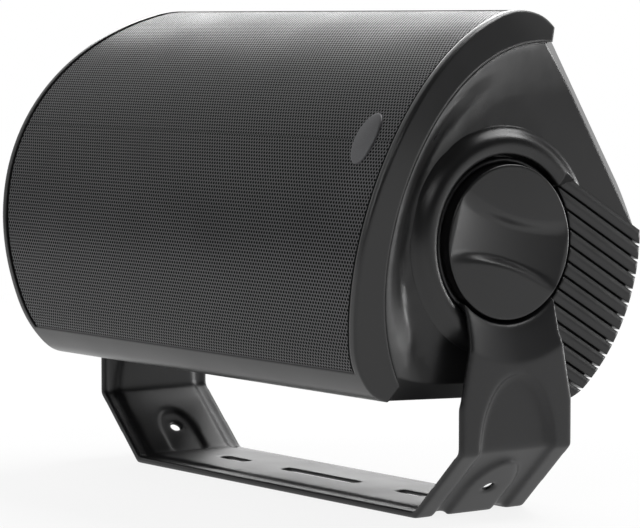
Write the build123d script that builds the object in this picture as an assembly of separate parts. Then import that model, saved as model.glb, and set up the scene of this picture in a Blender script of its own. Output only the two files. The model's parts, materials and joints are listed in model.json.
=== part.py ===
from build123d import *
import math
import os

# Driving dimensions in millimetres and degrees.
# The speaker is drawn about its tilt axis: X along the cabinet, -Y out of the grille, Z up.
# "Forward" below is the distance in front of that axis and "up" the height above it.
TILT = 30.2
AXIS_HEIGHT = 131.0

# Outline of the speaker, seen along the tilt axis
LENGTH = 322.0
END_RADIUS = 255.0
FRONT_LIFT = 4.0
NOSE = 91.6
NOSE_RADIUS = 123.5
NOSE_HALF = 87.3
SHOULDER_RADIUS = 47.5
FLANK_TAPER = 28.0
FLANK_REACH = 77.4
FLANK_ROUND = 20.0
REAR = 83.2
REAR_DROP = 3.0
REAR_RADIUS = 94.5
REAR_ROUND = 25.0
RIDGE_ROUND = 1.5

# Cabinet
WALL = 4.0
SEAM = 22.0
SEAM_GAP = 0.8
GASKET_INSET = 1.0
END_DEPTH = 20.0
EDGE_BEVEL = 8.0
CHEEK_RADIUS = 101.4
CHEEK_BACK = 23.4
CHEEK_THICK = 10.0
DISH_FLAT = 78.0
DISH_SPAN = 112.0
DISH_GRID = 7.0
DISH_LIP = 1.5
COLLAR_RISE = 5.0
COLLAR_FOOT = 54.0
COLLAR_LIP = 4.0
COLLAR_SINK = 0.5
RECESS_RADIUS = 41.0
RECESS_DEPTH = 6.0
RIB_RISE = 2.5
RIB_PITCH = 7.0
RIB_GROOVE = 1.3
RIB_COUNT = 13
RIB_START = 15.0
RIB_BED = 0.3
RIM_WIDTH = 6.0
RIM_DEPTH = 8.0
BOSS_RADIUS = 5.0
BOSS_DEPTH = 46.0

# Front baffle, grille and badge
END_WALL = 4.0
GRILLE_EDGE = 44.0
GRILLE_THICK = 1.2
GRILLE_SINK = 0.8
GRILLE_LEDGE = 4.0
EDGE_GAP = 0.4
FRAME_HALF = 91.5
BOARD_FRONT = 31.0
BOARD_THICK = 6.0
BADGE_INSET = 28.0
BADGE_UP = 6.6
BADGE_LENGTH = 26.5
BADGE_WIDTH = 17.0
BADGE_THICK = 1.4
SCREW_SHANK = 2.0
SCREW_HEAD = 4.0
SCREW_HEAD_THICK = 2.5
SCREW_FIT = 0.1
BAFFLE_SCREW_UP = 84.0
BAFFLE_SCREW_X = (-118.0, -22.0, 22.0, 118.0)
BAFFLE_SCREW_LENGTH = 22.0

# Clamp knobs
KNOB_RADIUS = 36.6
KNOB_THICK = 8.0
KNOB_ROUND = 1.0
KNOB_GAP = 0.2
VALLEY_ANGLE = 14.8
VALLEY_WAIST = 11.6
VALLEY_FLARE = 110.0
VALLEY_DEPTH = 4.2
VALLEY_DRAFT = 58.0
VALLEY_DISH = 138.0
STUD_RADIUS = 4.0
STUD_LENGTH = 15.0
STUD_GRIP = 3.0
RUNNING_FIT = 0.05
INSERT_RADIUS = 6.0
INSERT_LENGTH = 12.0
WASHER_RADIUS = 30.0
WASHER_THICK = 1.4
WASHER_GAP = 0.1

# Bracket
ARM_RISE = 12.6
STRIP_THICK = 3.0
RIM_HEIGHT = 3.4
RIM_LIP = 3.0
RIM_TOP = 56.0
SLANT_RUN = 35.1
BEND_HEIGHT = 33.4
BAR_WIDTH = 68.0
ARM_WAIST = 56.0
ARM_TOP_WIDTH = 55.0
ARM_TOP = 89.0
FLARE_RADIUS = 56.0
FLARE_SINK = 4.1
HUB_RADIUS = 39.8
HUB_WALL = 2.6
HUB_RIM = 6.5
HUB_DRAFT = 0.65
HUB_HOLE = 4.6
PANEL_HALF = 22.0
PANEL_TOP = 69.5
PANEL_STEP = 2.0
PANEL_THICK = 2.4
PAD_HALF = 14.0
PAD_HEIGHT = 13.6
PAD_HOLE = 2.75
SLOT_WIDTH = 6.0
CENTRE_SLOT = 62.0
SIDE_SLOT = 22.0
SIDE_SLOT_SPACING = 150.0

# Woofer, as radii and depths from the baffle's face
WOOFER_X = -50.0
FLANGE_RADIUS = 69.0
FLANGE_THICK = 2.0
GASKET_THICK = 1.0
BASKET_RADIUS = 56.5
BASKET_SHEET = 1.5
BASKET_DEPTH = 34.0
BASKET_NECK = 40.0
BASKET_WINDOW = 36.0
PLATE_RADIUS = 36.0
PLATE_THICK = 5.0
MAGNET_RADIUS = 41.0
MAGNET_BORE = 22.0
MAGNET_THICK = 15.0
POLE_RADIUS = 11.4
COIL_RADIUS = 12.2
COIL_WALL = 0.6
COIL_GAP = 0.6
COIL_LENGTH = 30.0
CONE_RADIUS = 48.5
CONE_DEPTH = 22.0
CONE_SHEET = 0.8
CAP_RADIUS = 20.0
CAP_RISE = 8.0
ROLL_GAP = 0.3
ROLL_LIP = 3.4
ROLL_SHEET = 0.8
SPIDER_HEIGHT = 5.0
SPIDER_SHEET = 0.7
WOOFER_SCREW_RING = 65.5
WOOFER_SCREW_HEAD = 3.0

# Tweeter
TWEETER_X = 74.0
FACE_RADIUS = 45.0
FACE_THICK = 2.6
DOME_RADIUS = 13.5
DOME_RISE = 4.6
DOME_SHEET = 0.6
DOME_FLANGE = 21.0
MOUTH_RADIUS = 24.0
CUP_RADIUS = 25.0
CUP_WALL = 3.0
CUP_DEPTH = 21.0
CUP_FIT = 2.0
TWEETER_MAGNET_RADIUS = 16.0
TWEETER_MAGNET_THICK = 12.0
TWEETER_SCREW_RING = 38.0

# Terminals on the rear
PLATE_LENGTH = 74.0
PLATE_HEIGHT = 48.0
PLATE_SHEET = 2.5
PLATE_FIT = 0.3
TRAY_LENGTH = 56.0
TRAY_HEIGHT = 32.0
TRAY_DEPTH = 11.5
POST_SPACING = 19.05
POST_RADIUS = 2.5
POST_COLLAR = 5.5
POST_COLLAR_THICK = 2.5
POST_NUT = 3.0
POST_TAIL = 5.0
CAP_GAP = 0.3
POST_CAP_RADIUS = 6.5
POST_CAP_LENGTH = 13.0
POST_CAP_SIDES = 12
PLATE_SCREW_INSET = 4.5
PLATE_SCREW_SHANK = 1.4
PLATE_SCREW_HEAD = 2.6
PLATE_SCREW_LENGTH = 8.0

# Crossover and damping
CARD_X = 82.0
CARD_LENGTH = 80.0
CARD_HEIGHT = 58.0
CARD_THICK = 1.6
CARD_STANDOFF = 66.0
CARD_INSET = 5.0
INDUCTOR_RADIUS = 14.0
INDUCTOR_BORE = 6.0
INDUCTOR_HEIGHT = 16.0
INDUCTOR_SPREAD = 18.0
CAPACITOR_RADIUS = 6.5
CAPACITOR_LENGTH = 24.0
RESISTOR_LENGTH = 22.0
RESISTOR_SIDE = 9.0
PART_GAP = 3.0
PAD_X = (-126.0, -46.0)
PAD_UP = 36.0
PAD_THICK = 12.0
PAD_FIT = 0.3

# Worked out from the driving dimensions
TAPER = math.radians(FLANK_TAPER)
END_CENTRE = LENGTH / 2 - END_RADIUS
END_FLOOR = LENGTH / 2 - END_DEPTH
RECESS_FLOOR = END_FLOOR - RECESS_DEPTH
COLLAR_TOP = END_FLOOR + COLLAR_RISE
CHEEK_INNER = END_FLOOR - CHEEK_THICK
CAVITY_END = END_FLOOR - WALL
BOARD_BACK = BOARD_FRONT - BOARD_THICK
FRAME_END = CHEEK_INNER - RIM_WIDTH
GRILLE_SEAT = GRILLE_SINK + GRILLE_THICK
HUB_BACK = RECESS_FLOOR + WASHER_THICK + WASHER_GAP
HUB_FACE = HUB_BACK + STRIP_THICK
KNOB_BACK = HUB_FACE + KNOB_GAP
KNOB_FACE = KNOB_BACK + KNOB_THICK
BADGE_X = LENGTH / 2 - BADGE_INSET
ARM_FACE = END_FLOOR + ARM_RISE
FOOT_HALF = ARM_FACE - SLANT_RUN
FLARE_NECK = ARM_FACE - FLARE_SINK
RIB_BAND = RIB_COUNT * RIB_PITCH / 2
REAR_FACE = REAR + RIB_RISE
FAR = 2 * LENGTH


def at(forward, up):
    return (-forward, up)


def block(x, forward, up):
    size = (x[1] - x[0], forward[1] - forward[0], up[1] - up[0])
    return Pos((x[0] + x[1]) / 2, -(forward[0] + forward[1]) / 2, (up[0] + up[1]) / 2) * Box(*size)


def drum_x(radius, x0, x1):
    return Pos((x0 + x1) / 2, 0, 0) * Rot(0, 90, 0) * Cylinder(radius, x1 - x0)


def turned_x(points):
    return revolve(make_face(Polyline(*points, close=True)), Axis.X)


def turned_y(points, x=0.0, up=0.0):
    # points are (radius, forward) and turn about a line along Y
    flat = [(radius, -forward) for radius, forward in points]
    return Pos(x, 0, up) * revolve(make_face(Polyline(*flat, close=True)), Axis.Y)


def rod_y(x, up, radius, front, depth):
    back = front - depth
    return turned_y([(0, back), (radius, back), (radius, front), (0, front)], x, up)


def both_ends(piece):
    return [piece, Rot(0, 0, 180) * piece]


def mirrored(piece):
    return [piece, mirror(piece, Plane.YZ)]


def mid_arc(centre, radius, start, end):
    lean = math.atan2(start[1] + end[1] - 2 * centre[1], start[0] + end[0] - 2 * centre[0])
    middle = (centre[0] + radius * math.cos(lean), centre[1] + radius * math.sin(lean))
    return ThreePointArc(at(*start), at(*middle), at(*end))


def flank_point(along):
    forward = along * math.cos(TAPER) - FLANK_REACH * math.sin(TAPER)
    up = along * math.sin(TAPER) + FLANK_REACH * math.cos(TAPER)
    return forward, up


def flank_meets(centre, radius, side):
    across = FLANK_REACH + centre[0] * math.sin(TAPER) - centre[1] * math.cos(TAPER)
    foot = centre[0] * math.cos(TAPER) + centre[1] * math.sin(TAPER)
    return flank_point(foot + side * math.sqrt(radius**2 - across**2))


def outline():
    nose_centre = NOSE - NOSE_RADIUS
    nose_end = (nose_centre + math.sqrt(NOSE_RADIUS**2 - NOSE_HALF**2), NOSE_HALF)
    share = SHOULDER_RADIUS / NOSE_RADIUS
    shoulder = (nose_end[0] - share * (nose_end[0] - nose_centre), nose_end[1] * (1 - share))
    crest = flank_meets(shoulder, SHOULDER_RADIUS, 1)
    sink = FRONT_LIFT + REAR_DROP
    heels = [flank_meets((REAR_RADIUS - REAR, side * sink), REAR_RADIUS, -1) for side in (-1, 1)]
    bend = mid_arc(shoulder, SHOULDER_RADIUS, nose_end, crest)
    upper = [bend, Line(at(*crest), at(*heels[0]))]
    lower = [mirror(edge, Plane.XZ) for edge in (bend, Line(at(*crest), at(*heels[1])))]
    nose = ThreePointArc(at(*nose_end), at(NOSE, 0), at(nose_end[0], -NOSE_HALF))
    rear = ThreePointArc(at(*heels[0]), at(-REAR, -sink), at(heels[1][0], -heels[1][1]))
    face = make_face([nose, rear] + upper + lower)
    for corner, radius in ((crest, FLANK_ROUND), (heels[0], REAR_ROUND), (heels[1], REAR_ROUND)):
        ends = [v for v in face.vertices() if abs(abs(v.Y) - corner[1]) + abs(v.X + corner[0]) < 0.01]
        face = fillet(ends, radius)
    return Pos(0, FRONT_LIFT) * face


PROFILE = outline()


def long_form(inset, half_length):
    face = offset(PROFILE, -inset) if inset else PROFILE
    return extrude(Plane.YZ * face, half_length, both=True)


def barrel(inset):
    drum = Rot(90, 0, 0) * Cylinder(END_RADIUS - inset, FAR)
    return Pos(END_CENTRE, 0, FRONT_LIFT) * drum & Pos(-END_CENTRE, 0, FRONT_LIFT) * drum


def edge_bevels(depth):
    # half spaces that slope off the corner between each end and each tapered flank
    cuts = []
    reach = FLANK_REACH - EDGE_BEVEL - depth * math.sqrt(2)
    for side in (1, -1):
        for up in (1, -1):
            lean = (0, math.sin(TAPER), up * math.cos(TAPER))
            origin = (side * END_FLOOR, reach * lean[1], reach * lean[2] + FRONT_LIFT)
            plane = Plane(origin=origin, z_dir=(side, lean[1], lean[2]))
            cuts.append(plane * Pos(0, 0, LENGTH / 4) * Box(FAR, FAR, LENGTH / 2))
    return cuts


def whole_body():
    body = long_form(0, LENGTH) & barrel(0)
    ridges = [e for e in body.edges() if abs(e.center().X) > FRAME_END and e.center().Y < -SEAM]
    return fillet(ridges, RIDGE_ROUND)


def dish_depth(forward, up):
    # rises smoothly from the floor around the hub to the barrel end along the seam's circle
    reach = math.hypot(forward + CHEEK_BACK, up)
    share = min(max((reach - DISH_FLAT) / (CHEEK_RADIUS + DISH_LIP - DISH_FLAT), 0), 1)
    rim = END_CENTRE + math.sqrt(END_RADIUS**2 - (up * CHEEK_RADIUS / max(reach, DISH_FLAT)) ** 2)
    return END_FLOOR + (rim - END_FLOOR) * share**2 * (3 - 2 * share)


def dish():
    span = [DISH_GRID * step - DISH_SPAN for step in range(round(2 * DISH_SPAN / DISH_GRID) + 1)]
    rows = [[(dish_depth(forward, up), -forward, up) for forward in span] for up in span]
    surface = Face.make_surface_from_array_of_points(rows)
    return Pos(0, 0, FRONT_LIFT) * extrude(surface, LENGTH / 4, dir=(1, 0, 0))


def collar():
    lip = (COLLAR_TOP, RECESS_RADIUS + COLLAR_LIP)
    foot = (END_FLOOR - COLLAR_SINK, COLLAR_FOOT)
    middle = ((lip[0] + foot[0]) / 2, (lip[1] + foot[1]) / 2)
    inner = (COLLAR_TOP - COLLAR_LIP / 2, RECESS_RADIUS)
    crown = TangentArc(lip, inner, tangent=(0, -1))
    first = TangentArc(lip, middle, tangent=(0, 1))
    second = TangentArc(middle, foot, tangent=first % 1)
    rest = Polyline(inner, (RECESS_FLOOR, RECESS_RADIUS), (RECESS_FLOOR, COLLAR_FOOT), foot)
    ring = revolve(make_face([crown, first, second, rest]), Axis.X)
    return ring - rib_zone(0)


def rib_zone(x):
    return block((x, LENGTH), (-FAR, -RIB_START), (-RIB_BAND, RIB_BAND))


def ribs():
    form = long_form(-RIB_RISE, END_FLOOR + RIB_RISE)
    strips = []
    for index in range(RIB_COUNT):
        low = index * RIB_PITCH - RIB_BAND
        span = (low + RIB_GROOVE / 2, low + RIB_PITCH - RIB_GROOVE / 2)
        strips.append(form & block((-LENGTH, LENGTH), (-FAR, -RIB_START), span))
    return strips


def cheek_zone(grow):
    disc = Pos(0, CHEEK_BACK, FRONT_LIFT) * drum_x(CHEEK_RADIUS + grow, CHEEK_INNER - grow, LENGTH)
    return mirrored(disc)


def screw_spots():
    return [(x, FRONT_LIFT + up * BAFFLE_SCREW_UP) for x in BAFFLE_SCREW_X for up in (1, -1)]


def cavity():
    room = long_form(WALL, CAVITY_END) & barrel(WALL)
    room -= edge_bevels(WALL)
    room &= block((-LENGTH, LENGTH), (-FAR, SEAM), (-LENGTH, LENGTH))
    rim = block((FRAME_END, LENGTH), (SEAM - RIM_DEPTH, SEAM), (-LENGTH, LENGTH))
    boss = drum_x(RECESS_RADIUS + WALL, RECESS_FLOOR - WALL, LENGTH)
    boss += drum_x(INSERT_RADIUS + WALL, RECESS_FLOOR - INSERT_LENGTH - WALL, LENGTH)
    room -= mirrored(rim) + mirrored(boss)
    columns = [rod_y(x, up, BOSS_RADIUS, SEAM, BOSS_DEPTH) for x, up in screw_spots()]
    posts = [rod_y(x, up, BOSS_RADIUS, -CARD_STANDOFF, REAR - CARD_STANDOFF) for x, up in card_corners()]
    return room - columns - posts


def card_corners():
    across = CARD_LENGTH / 2 - CARD_INSET
    rise = CARD_HEIGHT / 2 - CARD_INSET
    return [(CARD_X + i * across, j * rise) for i in (1, -1) for j in (1, -1)]


def plate_corners():
    across = PLATE_LENGTH / 2 - PLATE_SCREW_INSET
    rise = PLATE_HEIGHT / 2 - PLATE_SCREW_INSET
    return [(i * across, j * rise) for i in (1, -1) for j in (1, -1)]


def centred(length, forward, height):
    return block((-length / 2, length / 2), forward, (-height / 2, height / 2))


def make_cabinet(body):
    front = SEAM - SEAM_GAP / 2
    zone = block((-LENGTH, LENGTH), (-FAR, front), (-LENGTH, LENGTH)) + cheek_zone(0)
    shell = (body & zone) - mirrored(dish()) - edge_bevels(0)
    shell -= mirrored(rib_zone(END_FLOOR - RIB_BED))
    shell += mirrored(collar())
    shell += ribs()
    shell -= cavity()
    seat = PLATE_SHEET - REAR_FACE
    shell += centred(PLATE_LENGTH + 2 * WALL, (-REAR_FACE, seat + WALL), PLATE_HEIGHT + 2 * WALL)
    shell -= centred(PLATE_LENGTH + 2 * PLATE_FIT, (-FAR, seat), PLATE_HEIGHT + 2 * PLATE_FIT)
    opening = 2 * (PLATE_SHEET + PLATE_FIT)
    shell -= centred(TRAY_LENGTH + opening, (-FAR, -REAR / 2), TRAY_HEIGHT + opening)
    shell -= mirrored(drum_x(RECESS_RADIUS, RECESS_FLOOR, LENGTH))
    shell -= mirrored(drum_x(INSERT_RADIUS, RECESS_FLOOR - INSERT_LENGTH, LENGTH))
    hole = SCREW_SHANK + SCREW_FIT
    shell -= [rod_y(x, up, hole, SEAM, BAFFLE_SCREW_LENGTH) for x, up in screw_spots()]
    shell -= [rod_y(x, up, hole, -CARD_STANDOFF, WALL) for x, up in card_corners()]
    hole = PLATE_SCREW_SHANK + SCREW_FIT
    tip = PLATE_SCREW_LENGTH - REAR_FACE
    shell -= [rod_y(x, up, hole, tip, PLATE_SCREW_LENGTH) for x, up in plate_corners()]
    return shell


def make_gasket():
    slab = block((-LENGTH, LENGTH), (SEAM - SEAM_GAP / 2, SEAM + SEAM_GAP / 2), (-LENGTH, LENGTH))
    ring = long_form(GASKET_INSET, CHEEK_INNER - SEAM_GAP) & slab
    return ring - long_form(WALL - GASKET_INSET, FRAME_END + GASKET_INSET)


def make_baffle(body):
    back = SEAM + SEAM_GAP / 2
    frame = body & block((-LENGTH, LENGTH), (back, FAR), (-LENGTH, LENGTH))
    frame -= cheek_zone(SEAM_GAP / 2)
    skin = long_form(GRILLE_SEAT, LENGTH)
    bed = (body - skin) & barrel(END_WALL) & block((-LENGTH, LENGTH), (GRILLE_EDGE, FAR), (-LENGTH, LENGTH))
    chamber = skin & barrel(END_WALL + GRILLE_LEDGE)
    frame_span = (FRONT_LIFT - FRAME_HALF, FRONT_LIFT + FRAME_HALF)
    chamber &= block((-FRAME_END, FRAME_END), (BOARD_FRONT, FAR), frame_span)
    rear = long_form(WALL, FRAME_END) & block((-LENGTH, LENGTH), (-FAR, BOARD_BACK), (-LENGTH, LENGTH))
    frame = frame - bed - chamber - rear
    frame -= rod_y(WOOFER_X, 0, BASKET_RADIUS + EDGE_GAP, FAR, FAR)
    frame -= rod_y(TWEETER_X, 0, CUP_RADIUS + CUP_FIT, FAR, FAR)
    hole = SCREW_SHANK + SCREW_FIT
    spots = screw_spots() + driver_spots(WOOFER_X, WOOFER_SCREW_RING)
    spots += driver_spots(TWEETER_X, TWEETER_SCREW_RING)
    frame -= [rod_y(x, up, hole, BOARD_FRONT, BOARD_THICK + WALL) for x, up in spots]
    return frame


def driver_spots(x, ring):
    reach = ring * math.sqrt(0.5)
    return [(x + i * reach, j * reach) for i in (1, -1) for j in (1, -1)]


def screws(spots, seat, length, shank=SCREW_SHANK, head=SCREW_HEAD, rise=SCREW_HEAD_THICK):
    section = [
        (0, seat - length),
        (shank, seat - length + shank),
        (shank, seat),
        (head, seat),
        (head, seat + rise / 2),
        (head / 2, seat + rise),
        (0, seat + rise),
    ]
    return [turned_y(section, x, up) for x, up in spots]


def make_grille():
    outer = long_form(GRILLE_SINK, LENGTH)
    inner = long_form(GRILLE_SEAT, LENGTH)
    sheet = (outer - inner) & barrel(END_WALL + EDGE_GAP)
    return sheet & block((-LENGTH, LENGTH), (GRILLE_EDGE + EDGE_GAP, FAR), (-LENGTH, LENGTH))


def make_badge():
    outer = long_form(GRILLE_SINK - BADGE_THICK, LENGTH)
    inner = long_form(GRILLE_SINK, LENGTH)
    oval = Plane(origin=(BADGE_X, -NOSE, BADGE_UP), x_dir=(0, 0, 1), z_dir=(0, -1, 0))
    prism = extrude(oval * Ellipse(BADGE_LENGTH / 2, BADGE_WIDTH / 2), BADGE_LENGTH, both=True)
    return (outer - inner) & prism


def valley():
    # hourglass seen along the knob's axis, with sloping walls and a floor that is dished along its length
    face = Plane(origin=(KNOB_FACE, 0, 0), x_dir=(0, 1, 0), z_dir=(1, 0, 0))
    trough = face * extrude(Rectangle(2 * KNOB_RADIUS, 2 * KNOB_RADIUS), -KNOB_THICK)
    for up in (1, -1):
        lobe = Pos(0, up * (VALLEY_FLARE + VALLEY_WAIST)) * Circle(VALLEY_FLARE)
        trough -= face * extrude(lobe, -KNOB_THICK, taper=-VALLEY_DRAFT)
    floor = Pos(KNOB_FACE - VALLEY_DEPTH + VALLEY_DISH, 0, 0) * Cylinder(VALLEY_DISH, FAR)
    return Rot(VALLEY_ANGLE, 0, 0) * (trough & floor)


def make_knob():
    disc = drum_x(KNOB_RADIUS, KNOB_BACK, KNOB_FACE)
    rim = [e for e in disc.edges() if e.center().X > KNOB_BACK + KNOB_THICK / 2]
    disc = fillet(rim, KNOB_ROUND) - valley()
    return disc - drum_x(STUD_RADIUS, 0, KNOB_BACK + STUD_GRIP)


def make_stud():
    return drum_x(STUD_RADIUS, KNOB_BACK + STUD_GRIP - STUD_LENGTH, KNOB_BACK + STUD_GRIP)


def make_insert():
    sleeve = drum_x(INSERT_RADIUS, RECESS_FLOOR - INSERT_LENGTH, RECESS_FLOOR)
    return sleeve - drum_x(STUD_RADIUS + RUNNING_FIT, 0, LENGTH)


def make_washer():
    ring = drum_x(WASHER_RADIUS, RECESS_FLOOR, RECESS_FLOOR + WASHER_THICK)
    return ring - drum_x(INSERT_RADIUS + EDGE_GAP, 0, LENGTH)


def rail(depth):
    # right half of the bracket's strip, at a depth under its outer face
    run = math.hypot(BEND_HEIGHT, ARM_FACE - FOOT_HALF)
    inward = -BEND_HEIGHT / run
    upward = (ARM_FACE - FOOT_HALF) / run
    bend = BEND_HEIGHT + depth * (1 + inward) / upward
    foot = ARM_FACE + (depth - upward * (depth - BEND_HEIGHT)) / inward
    return [(ARM_FACE - depth, AXIS_HEIGHT), (ARM_FACE - depth, bend), (foot, depth)]


def strip(near, far):
    right = rail(near)
    inner = rail(far)
    left = [(-x, z) for x, z in reversed(right)]
    inner_left = [(-x, z) for x, z in inner]
    face = make_face(Polyline(*right, *left, *inner_left, *reversed(inner), close=True))
    return extrude(Plane.XZ * face, BAR_WIDTH, both=True)


def side_prism(face):
    return extrude(Plane.YZ * face, LENGTH, both=True)


def arm_face(inset):
    low = BAR_WIDTH / 2 - inset
    high = ARM_TOP_WIDTH / 2 - inset
    half = [(low, -STRIP_THICK), (low, ARM_WAIST), (high, ARM_TOP), (high, AXIS_HEIGHT)]
    return make_face(Polyline(*half, *[(-y, z) for y, z in reversed(half)], close=True))


def panel_face(grow):
    arch = Pos(0, BEND_HEIGHT) * Ellipse(PANEL_HALF + grow, PANEL_TOP - BEND_HEIGHT + grow)
    return arch + Pos(0, BEND_HEIGHT / 2) * Rectangle(2 * (PANEL_HALF + grow), BEND_HEIGHT)


def pad_face(grow):
    arch = Pos(0, PAD_HEIGHT) * Circle(PAD_HALF + grow)
    return arch + Pos(0, PAD_HEIGHT / 2) * Rectangle(2 * (PAD_HALF + grow), PAD_HEIGHT)


def slot(x, length):
    return Pos(x, 0, 0) * extrude(SlotOverall(length, SLOT_WIDTH), BEND_HEIGHT, both=True)


def hub():
    # cup for the knob, with a flare that runs out into the arm's face
    inner = HUB_RADIUS - HUB_WALL
    cup = turned_x(
        [
            (HUB_BACK, HUB_HOLE),
            (HUB_BACK, HUB_RADIUS),
            (HUB_BACK + HUB_RIM, HUB_RADIUS),
            (HUB_BACK + HUB_RIM, inner),
            (HUB_FACE, inner),
            (HUB_FACE, HUB_HOLE),
        ]
    )
    under = FLARE_NECK - STRIP_THICK
    flare = turned_x(
        [
            (HUB_BACK, inner),
            (HUB_BACK, HUB_RADIUS),
            (under, HUB_RADIUS + HUB_DRAFT),
            (ARM_FACE - STRIP_THICK, FLARE_RADIUS),
            (ARM_FACE, FLARE_RADIUS),
            (FLARE_NECK, HUB_RADIUS + HUB_WALL),
            (FLARE_NECK - STRIP_THICK / 2, inner + HUB_WALL / 2),
            (HUB_FACE, inner),
        ]
    )
    place = Pos(0, 0, AXIS_HEIGHT)
    return [place * cup, (place * flare) & side_prism(arm_face(0))]


def make_bracket():
    beyond = strip(STRIP_THICK, AXIS_HEIGHT / 2)
    plate = strip(0, RIM_HEIGHT) & side_prism(arm_face(0))
    plate -= beyond & side_prism(arm_face(RIM_LIP))
    plate -= beyond & block((-LENGTH, LENGTH), (-FAR, FAR), (RIM_TOP, FAR))
    plate -= strip(0, PANEL_STEP) & side_prism(panel_face(0))
    plate += strip(PANEL_STEP, PANEL_STEP + PANEL_THICK) & side_prism(panel_face(STRIP_THICK))
    for zone in mirrored(block((FOOT_HALF - PANEL_STEP, LENGTH), (-FAR, FAR), (-FAR, FAR))):
        plate += zone & strip(0, PANEL_STEP) & side_prism(pad_face(0))
        plate -= zone & beyond & side_prism(pad_face(-STRIP_THICK))
    plate -= Pos(0, 0, AXIS_HEIGHT) * drum_x(FLARE_RADIUS, -LENGTH, LENGTH)
    for piece in hub():
        plate += mirrored(piece)
    plate -= slot(0, CENTRE_SLOT)
    plate -= [slot(side * SIDE_SLOT_SPACING / 2, SIDE_SLOT) for side in (1, -1)]
    slope = math.atan2(ARM_FACE - FOOT_HALF, BEND_HEIGHT)
    drill = Rot(0, 90 + math.degrees(slope), 0) * Cylinder(PAD_HOLE, BEND_HEIGHT)
    return plate - mirrored(Pos(FOOT_HALF + PAD_HEIGHT * math.tan(slope), 0, PAD_HEIGHT) * drill)


def woofer_sections():
    seat = BOARD_FRONT + GASKET_THICK
    face = seat + FLANGE_THICK
    neck = seat - BASKET_DEPTH
    sheet = BASKET_SHEET
    basket = [
        (FLANGE_RADIUS, face),
        (FLANGE_RADIUS, seat),
        (BASKET_RADIUS, seat),
        (BASKET_NECK, neck - sheet),
        (MAGNET_BORE, neck - sheet),
        (MAGNET_BORE, neck),
        (BASKET_NECK - sheet, neck),
        (BASKET_RADIUS - sheet, seat),
        (BASKET_RADIUS - sheet, face),
    ]
    plate_back = neck - sheet - PLATE_THICK
    gap = COIL_RADIUS + COIL_WALL + COIL_GAP
    plate = [(gap, neck - sheet), (PLATE_RADIUS, neck - sheet), (PLATE_RADIUS, plate_back), (gap, plate_back)]
    magnet_back = plate_back - MAGNET_THICK
    magnet = [
        (MAGNET_BORE, plate_back),
        (MAGNET_RADIUS, plate_back),
        (MAGNET_RADIUS, magnet_back),
        (MAGNET_BORE, magnet_back),
    ]
    yoke = [
        (0, neck - sheet),
        (POLE_RADIUS, neck - sheet),
        (POLE_RADIUS, magnet_back),
        (PLATE_RADIUS, magnet_back),
        (PLATE_RADIUS, magnet_back - PLATE_THICK),
        (0, magnet_back - PLATE_THICK),
    ]
    coil_back = plate_back - PLATE_THICK / 2
    coil_out = COIL_RADIUS + COIL_WALL
    coil = [
        (COIL_RADIUS, coil_back),
        (coil_out, coil_back),
        (coil_out, coil_back + COIL_LENGTH),
        (COIL_RADIUS, coil_back + COIL_LENGTH),
    ]
    cone_low = face - CONE_DEPTH
    cone = [
        (coil_out, cone_low),
        (CONE_RADIUS, face - CONE_SHEET),
        (CONE_RADIUS, face),
        (coil_out, cone_low + CONE_SHEET),
    ]
    spider = [
        (coil_out + ROLL_GAP, neck + SPIDER_HEIGHT),
        (basket_inside(SPIDER_HEIGHT) - ROLL_GAP, neck + SPIDER_HEIGHT),
        (basket_inside(SPIDER_HEIGHT) - ROLL_GAP, neck + SPIDER_HEIGHT + SPIDER_SHEET),
        (coil_out + ROLL_GAP, neck + SPIDER_HEIGHT + SPIDER_SHEET),
    ]
    gasket = [
        (BASKET_RADIUS + EDGE_GAP, BOARD_FRONT),
        (FLANGE_RADIUS, BOARD_FRONT),
        (FLANGE_RADIUS, seat),
        (BASKET_RADIUS + EDGE_GAP, seat),
    ]
    return {
        "woofer_basket": basket,
        "woofer_top_plate": plate,
        "woofer_magnet": magnet,
        "woofer_yoke": yoke,
        "voice_coil": coil,
        "woofer_cone": cone,
        "woofer_spider": spider,
        "woofer_gasket": gasket,
    }


def basket_inside(height):
    return BASKET_NECK - BASKET_SHEET + (BASKET_RADIUS - BASKET_NECK) * height / BASKET_DEPTH


def roll(inner, outer, seat):
    # half-round surround between the cone's edge and the basket's flange
    radius = (outer - inner) / 2
    middle = (inner + outer) / 2
    ring = Pos(middle, -seat) * (Circle(radius) - Circle(radius - ROLL_SHEET))
    ring &= Pos(middle, -seat - radius) * Rectangle(2 * radius, 2 * radius)
    lip = Pos(outer + ROLL_LIP / 2 - ROLL_SHEET / 2, -seat - ROLL_SHEET / 2)
    ring += lip * Rectangle(ROLL_LIP + ROLL_SHEET, ROLL_SHEET)
    return Pos(WOOFER_X, 0, 0) * revolve(ring, Axis.Y)


def cap_dome(radius, rise, sheet, seat, x):
    ball = (radius**2 + rise**2) / (2 * rise)
    centre = Pos(x, -(seat + rise - ball), 0)
    shell = centre * Sphere(ball) - centre * Sphere(ball - sheet)
    return shell & block((-LENGTH, LENGTH), (seat, FAR), (-FAR, FAR))


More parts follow.
